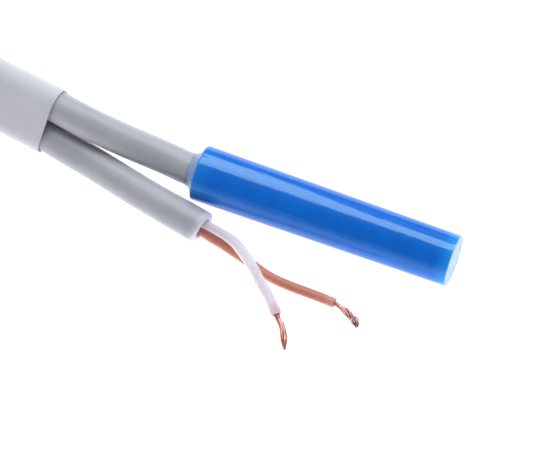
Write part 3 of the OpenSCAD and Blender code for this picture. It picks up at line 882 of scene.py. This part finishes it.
# tape: d runs round the outline of two circles and their tangents; after one lap it steps out by
# its own thickness, and a flat section with round edges is carried along
def makeTie():
    s = tie
    angle = math.atan(s["slope"])
    axis = np.array([-math.cos(angle), -math.sin(angle), 0])
    level = np.array([-math.sin(angle), math.cos(angle), 0])
    low = np.array([s["low"][0] * math.cos(angle), s["low"][1]])
    high = np.array([s["high"][0] * math.cos(angle), s["high"][1]])
    span = np.linalg.norm(high - low)
    lean = math.atan2(*(high - low)[::-1])
    radius = cable["diameter"] / 2 + s["gap"] + s["thickness"] / 2
    halfRound = np.pi * radius
    lap = 2 * (span + halfRound)
    start = span * s["startShare"]
    d = np.arange(0, lap + s["lap"], s["step"]) + start
    at = np.mod(d, lap)
    grow = s["thickness"] * s["lapRise"] * easedStep((d - start - lap + s["lapRun"]) / s["lapRun"])
    # in order: along the far tangent, round the high cable, back along the near tangent, round the low one
    places = [at < span, at < span + halfRound, at < 2 * span + halfRound]
    turn = np.select(places, [0 * at, (at - span) / radius, np.pi + 0 * at],
                     np.pi + (at - 2 * span - halfRound) / radius)
    along = np.select(places, [at, span + 0 * at, 2 * span + halfRound - at], 0 * at)
    normal = pairs(np.cos(lean - np.pi / 2 + turn), np.sin(lean - np.pi / 2 + turn))
    tangent = np.array([math.cos(lean), math.sin(lean)])
    centre = low + along[:, None] * tangent + (radius + grow)[:, None] * normal

    def inSpace(p):
        return p[..., :1] * level + p[..., 1:] * np.array([0, 0, 1.0])

    path = inSpace(centre) + np.array([s["x"], 0, 0])
    outward = inSpace(normal)
    half, thick = s["width"] / 2, s["thickness"] / 2
    edge = np.linspace(-np.pi / 2, np.pi / 2, 6)
    flat = np.linspace(-1, 1, 22)[1:-1] * (half - thick)
    bulge = half - thick + thick * np.cos(edge)
    across = np.concatenate([flat, bulge, -flat, -bulge])
    rise = np.concatenate([0 * flat - thick, thick * np.sin(edge), 0 * flat + thick, -thick * np.sin(edge)])
    grid = path[:, None] + (across + half)[:, None] * axis + rise[:, None] * outward[:, None]
    return gridPiece("tie", capped(grid), materials["tie"], ("hank_tie",))


tiePiece = makeTie()
print("tie made")

# blue tube: draft from rim to tip, soft edges, a slightly dished tip face and the bore
tube = {
    "rimRadius": 0.0033, "tipRadius": 0.00305, "wall": 0.00055, "endWall": 0.0009,
    "tipEdge": 0.00012, "rimEdge": 0.00014, "dish": 0.00005, "dishRim": 0.00012, "dishFrom": 0.86,
    "sides": 192,
}


def makeTube():
    s = tube
    a = np.linspace(0, np.pi / 2, 9)
    rim, tip, edge, lip = s["rimRadius"], s["tipRadius"], s["tipEdge"], s["rimEdge"]
    inRim, inTip = rim - s["wall"], tip - s["wall"]
    face = np.linspace(0, 1, 14)
    sunk = s["dish"] * (1 - easedStep((face - s["dishFrom"]) / (1 - s["dishFrom"])))
    dish = pairs(tipX - sunk, face * (tip - edge - s["dishRim"]))
    tipRound = pairs(tipX - edge * (1 - np.cos(a)), tip - edge * (1 - np.sin(a)))
    share = np.linspace(0, 1, 40)[1:-1]
    side = pairs(tipX - edge + (rimX + lip - tipX + edge) * share, tip + (rim - tip) * share)
    rimRound = pairs(rimX + lip * (1 - np.sin(a)), rim - lip * (1 - np.cos(a)))
    inRound = pairs(rimX + lip * (1 - np.cos(a)), inRim + lip * (1 - np.sin(a)))
    endX = tipX - s["endWall"]
    bore = pairs(rimX + lip + (endX - rimX - lip) * share, inRim + (inTip - inRim) * share)
    floor = np.array([[endX, inTip], [endX, inTip / 2], [endX, 0.0]])
    profile = np.concatenate([dish, tipRound, side, rimRound, inRound, bore, floor])
    gridPiece("tube", turnedGrid(profile, s["sides"]), materials["housing"], ("housing",))


makeTube()
print("tube made")

# reeds: round lead pressed flat into a blade; section half-width and half-height ease from wire to blade
reeds = {
    "leadRadius": 0.00025, "bladeHalf": 0.00045, "bladeThick": 0.0002, "bladeLength": 0.00465,
    "gap": 0.00005, "pressRun": 0.0007, "squared": 0.65, "sides": 24,
    "cableHinge": 0.00015, "cableLead": 0.0058,
    "tipHinge": 0.00855, "tipBend": 0.0119, "bendRadius": 0.0006, "tipEnd": -0.000955,
}


def makeReed(name, path, hingeAt, level, node):
    s = reeds
    side, up = pathFrames(path)[1:]
    press = easedStep((walkedAlong(path) - hingeAt) / s["pressRun"])[:, None]
    half = s["leadRadius"] + (s["bladeHalf"] - s["leadRadius"]) * press
    thick = s["leadRadius"] + (s["bladeThick"] / 2 - s["leadRadius"]) * press
    a = ringAngles(s["sides"])

    def squared(c):
        return np.sign(c) * np.abs(c) ** (1 - s["squared"] * press)

    centre = path + press * np.array([0, 0, level])
    grid = (centre[:, None] + (half * squared(np.cos(a)))[..., None] * side[:, None]
            + (thick * squared(np.sin(a)))[..., None] * up[:, None])
    return gridPiece(name, capped(grid), materials["reed"], (node,), body=None)


# points on the switch's axis
def onSwitch(x):
    return np.stack([x, 0 * x + switchY, 0 * x + axisZ], axis=1)


def makeReeds():
    s = reeds
    lift = (s["gap"] + s["bladeThick"]) / 2
    hinge, tip = s["cableHinge"], s["cableHinge"] + s["bladeLength"]
    straight = onSwitch(np.linspace(hinge - s["cableLead"], tip, 90))
    piece = makeReed("cableReed", straight, s["cableLead"], lift, "cable_side_reed")
    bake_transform(piece)
    hinge, tip = s["tipHinge"], s["tipHinge"] - s["bladeLength"]
    bend, r = s["tipBend"], s["bendRadius"]
    a = np.linspace(0, np.pi / 2, 20)
    leg = np.linspace(s["tipEnd"], switchY - r, 16)[:-1]
    legPart = np.stack([0 * leg + bend + r, leg, 0 * leg + axisZ], axis=1)
    bendPart = np.stack([bend + r * np.cos(a), switchY - r + r * np.sin(a), 0 * a + axisZ], axis=1)
    bent = np.concatenate([legPart, bendPart, onSwitch(np.linspace(bend, tip, 90)[1:])])
    hingeAt = switchY - r - s["tipEnd"] + r * np.pi / 2 + bend - hinge
    piece = makeReed("tipReed", bent, hingeAt, -lift, "tip_side_reed")
    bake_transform(piece)


makeReeds()
print("reeds made")

# CAD nodes that keep their shape get their finish here
nodeFinish = {
    "potting": "resin", "glass_capsule": "glass",
    "cable_side_solder": "solder", "tip_side_solder": "solder",
    "white_core_inner": "whiteInner", "brown_core_inner": "brownInner",
    "white_strands_inner": "copperInner", "brown_strands_inner": "copperInner",
}
for nodeName, finishName in nodeFinish.items():
    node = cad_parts[nodeName]
    if not node.material_slots:
        node.data.materials.append(materials[finishName])
    for nodeSlot in node.material_slots:
        nodeSlot.material = materials[finishName]
print("node finishes set:", len(nodeFinish))

# white table, soft key from above and behind, a small window beside the rim, dim surroundings; edges
# are the range of a direction's cosine or height over which a level changes
lights = {
    "key": {"aim": (0, 0, 0), "azimuth": 201.5, "elevation": 61.0, "distance": 0.6,
            "size": (0.60, 0.31), "roll": 0.0, "power": 2.3},
    "window": {"aim": (-0.0095, 0.001, 0.0065), "azimuth": 192.0, "elevation": 37.5, "distance": 0.12,
               "size": (0.026, 0.041), "roll": 15.0, "power": 0.0115},
    "lampColour": (0.95, 0.985, 1.0),
    "surround": (0.98, 0.99, 1.0), "surroundLevel": 0.7,
    "frontLevel": 0.15, "frontRise": 35.0, "frontEdges": (0.1, 0.75),
    "lowFront": 0.45, "lowFrontEdges": (0.3, 0.6), "lowFrontTop": (0.22, 0.36),
    "lowRear": 0.4, "lowRearEdges": (-0.8, -0.5), "lowRearTop": (0.30, 0.42),
    "table": (0.86, 0.86, 0.88), "tableLevel": 1.4, "tableShow": 0.86, "tableHalf": 6.0, "tablePoints": 9,
}


# 1 for rays that see the table straight, mirrored or through glass, and 0 for its light on other things
def seenDirectly(tree):
    path = addNode(tree, "ShaderNodeLightPath")
    seen = mathNode(tree, "MAXIMUM", path.outputs["Is Camera Ray"], path.outputs["Is Glossy Ray"])
    return mathNode(tree, "MAXIMUM", seen, path.outputs["Is Transmission Ray"])


def makeTable():
    half, count = lights["tableHalf"], lights["tablePoints"]
    line = np.linspace(-half, half, count)
    x, y = np.meshgrid(line, line, indexing="ij")
    points = np.stack([x, y, 0 * x], axis=-1)
    index = np.arange(count ** 2).reshape(count, count)
    quads = np.stack([index[:-1, :-1], index[1:, :-1], index[1:, 1:], index[:-1, 1:]], axis=-1)
    mesh = bpy.data.meshes.new("table")
    mesh.from_pydata(points.reshape(-1, 3).tolist(), [], quads.reshape(-1, 4).tolist())
    material, tree, shader = newMaterial("tableWhite", {
        "Base Color": (*lights["table"], 1), "Roughness": 0.9,
        "Emission Color": (1, 1, 1, 1), "Emission Strength": lights["tableLevel"]})
    glow = addNode(tree, "ShaderNodeEmission", {"Color": (1, 1, 1, 1), "Strength": 1.0})
    share = product(tree, seenDirectly(tree), lights["tableShow"])
    mixed = addNode(tree, "ShaderNodeMixShader", {0: share, 1: shader.outputs[0], 2: glow.outputs[0]})
    tree.links.new(mixed.outputs[0], tree.nodes["Material Output"].inputs["Surface"])
    mesh.materials.append(material)
    table = bpy.data.objects.new("table", mesh)
    scene.collection.objects.link(table)


def makeLamp(name):
    s = lights[name]
    data = bpy.data.lights.new(name, "AREA")
    data.shape = "RECTANGLE"
    data.size, data.size_y = s["size"]
    data.energy = s["power"]
    data.color = lights["lampColour"]
    lamp = bpy.data.objects.new(name, data)
    lamp.visible_camera = False
    placeAimed(lamp, s)


def cosineTo(tree, direction, azimuth, elevation):
    return addNode(tree, "ShaderNodeVectorMath", {0: direction, 1: tuple(towards(azimuth, elevation))},
                   operation="DOT_PRODUCT").outputs["Value"]


# surroundings: level by direction, dark wide in front, a bright low band ahead and a dimmer one behind
def makeLights():
    s = lights
    makeLamp("key")
    makeLamp("window")
    world = bpy.data.worlds.new("studio")
    world.use_nodes = True
    tree = world.node_tree
    sky = addNode(tree, "ShaderNodeTexCoord").outputs["Generated"]
    rise = vectorParts(tree, sky)[2]
    facing = cosineTo(tree, sky, studio["azimuth"], s["frontRise"])
    ahead = cosineTo(tree, sky, studio["azimuth"], 0.0)
    level = mapRange(tree, facing, *s["frontEdges"], s["surroundLevel"], s["frontLevel"])
    band = product(tree, mapRange(tree, ahead, *s["lowFrontEdges"]),
                   mapRange(tree, rise, *s["lowFrontTop"], s["lowFront"], 0.0))
    dimmed = product(tree, mapRange(tree, ahead, *s["lowRearEdges"], s["lowRear"], 0.0),
                     mapRange(tree, rise, *s["lowRearTop"], 1.0, 0.0))
    level = mathNode(tree, "SUBTRACT", mathNode(tree, "ADD", level, band), dimmed)
    background = tree.nodes["Background"]
    background.inputs["Color"].default_value = (*s["surround"], 1)
    tree.links.new(level, background.inputs["Strength"])
    scene.world = world


makeTable()
makeLights()
print("table and lights made")
